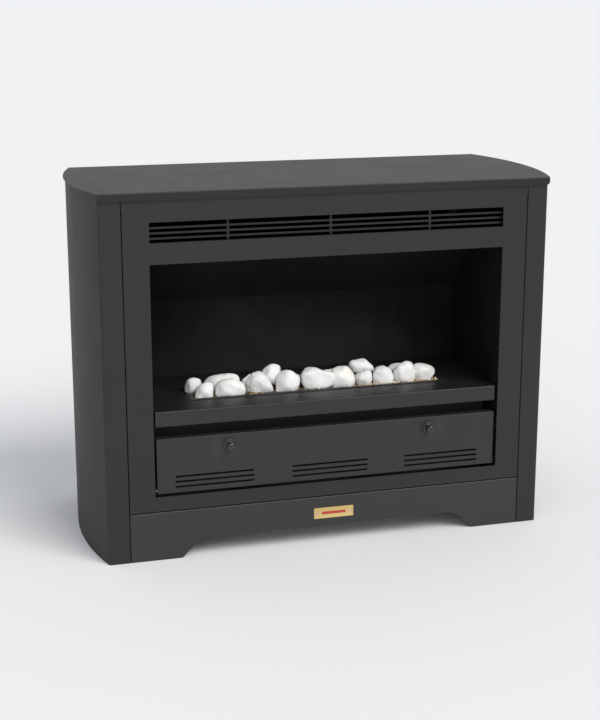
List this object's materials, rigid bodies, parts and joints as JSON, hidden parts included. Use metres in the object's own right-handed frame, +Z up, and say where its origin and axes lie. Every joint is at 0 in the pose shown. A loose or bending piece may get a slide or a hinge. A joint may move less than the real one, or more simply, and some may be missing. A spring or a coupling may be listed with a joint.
{
  "type": "freestanding gas fireplace",
  "caption": "Low bow-sided sheet-steel heater with an open firebox over a stone-covered gas burner, a slotted warm-air grille and a drop-down flap over its controls.",
  "frame": {"origin": "middle of the bounding box's footprint, on the floor", "axes": "+X to the right seen from the front, +Y towards the back, +Z up"},
  "size_m": [0.861, 0.377, 0.647],
  "materials": {
    "cabinet_paint": "satin black heat-resistant paint",
    "grille_paint": "satin black heat-resistant paint",
    "flap_paint": "satin black heat-resistant paint",
    "shelf_paint": "satin black heat-resistant paint",
    "firebox_paint": "matt black stove paint",
    "pan_steel": "matt black stove paint",
    "galvanised_steel": "zinc-coated sheet",
    "screw_steel": "zinc-plated",
    "blackened_screw": "blackened steel",
    "badge_brass": "satin brass",
    "pebble_stone": "smooth white river stone",
    "granule_stone": "loose mineral granules",
    "aluminised_tube": "aluminised steel tube",
    "brass": "machined brass",
    "valve_casting": "die-cast",
    "spindle_steel": "ground steel",
    "knob_plastic": "moulded black",
    "dial_aluminium": "brushed plate",
    "electrode_ceramic": "glazed insulator",
    "copper_pipe": "drawn copper pipe",
    "lead_sleeve": "silicone sleeve",
    "magnet_case": "moulded case",
    "pull_enamel": "gloss black enamel"
  },
  "bodies": {
    "cabinet": {"left_side_panel": "cabinet_paint", "right_side_panel": "cabinet_paint", "top_plate": "cabinet_paint", "front_fascia": "cabinet_paint", "plinth": "cabinet_paint", "top_grille": "grille_paint", "burner_shelf": "shelf_paint", "burner_pan": "shelf_paint", "left_liner": "firebox_paint", "right_liner": "firebox_paint", "firebox_back": "firebox_paint", "firebox_roof": "firebox_paint", "front_top_rail": "firebox_paint", "heat_shield": "firebox_paint", "heat_baffle": "firebox_paint", "liner_clips": "firebox_paint", "left_shelf_rail": "firebox_paint", "right_shelf_rail": "firebox_paint", "control_panel": "firebox_paint", "hinge_brackets": "firebox_paint", "front_panel_screws": "blackened_screw", "liner_screws": "blackened_screw", "port_plate": "pan_steel", "rear_top_rail": "galvanised_steel", "base_plate": "galvanised_steel", "rear_panel": "galvanised_steel", "injector_bracket": "galvanised_steel", "pilot_bracket": "galvanised_steel", "inlet_bracket": "galvanised_steel", "top_plate_nuts": "screw_steel", "rear_panel_screws": "screw_steel", "badge_rivets": "screw_steel", "badge_plate": "badge_brass", "pebbles": "pebble_stone", "ember_bed": "granule_stone", "mixer_tube": "aluminised_tube", "injector": "brass", "gas_inlet": "brass", "pilot_burner": "brass", "gas_valve": "valve_casting", "flame_probe": "spindle_steel", "piezo_igniter": "knob_plastic", "dial_plate": "dial_aluminium", "spark_electrode": "electrode_ceramic", "supply_pipe": "copper_pipe", "burner_pipe": "copper_pipe", "pilot_pipe": "copper_pipe", "probe_lead": "copper_pipe", "spark_lead": "lead_sleeve", "magnet_catches": "magnet_case"},
    "control_flap": {"control_flap": "flap_paint", "hinge_pins": "screw_steel", "left_pull_knob": "pull_enamel", "right_pull_knob": "pull_enamel", "pull_screws": "screw_steel"},
    "valve_rotor": {"valve_rotor": "brass"},
    "valve_control": {"valve_spindle": "spindle_steel", "valve_knob": "knob_plastic"},
    "piezo_button": {"piezo_button": "knob_plastic"}
  },
  "joints": [
    {"name": "flap_hinge", "type": "hinge", "parent": "cabinet", "child": "control_flap", "pos_m": [0, -0.1635, 0.1245], "axis": [1, 0, 0], "range_deg": [0, 108]},
    {"name": "valve_turn", "type": "hinge", "parent": "cabinet", "child": "valve_rotor", "pos_m": [0.215, -0.0925, 0.166], "axis": [0, -1, 0], "range_deg": [0, 180]},
    {"name": "valve_push", "type": "slide", "parent": "valve_rotor", "child": "valve_control", "axis": [0, 1, 0], "range_m": [0, 0.005], "stiffness_N_per_m": 300},
    {"name": "igniter_press", "type": "slide", "parent": "cabinet", "child": "piezo_button", "axis": [0, 1, 0], "range_m": [0, 0.006], "stiffness_N_per_m": 400}
  ]
}
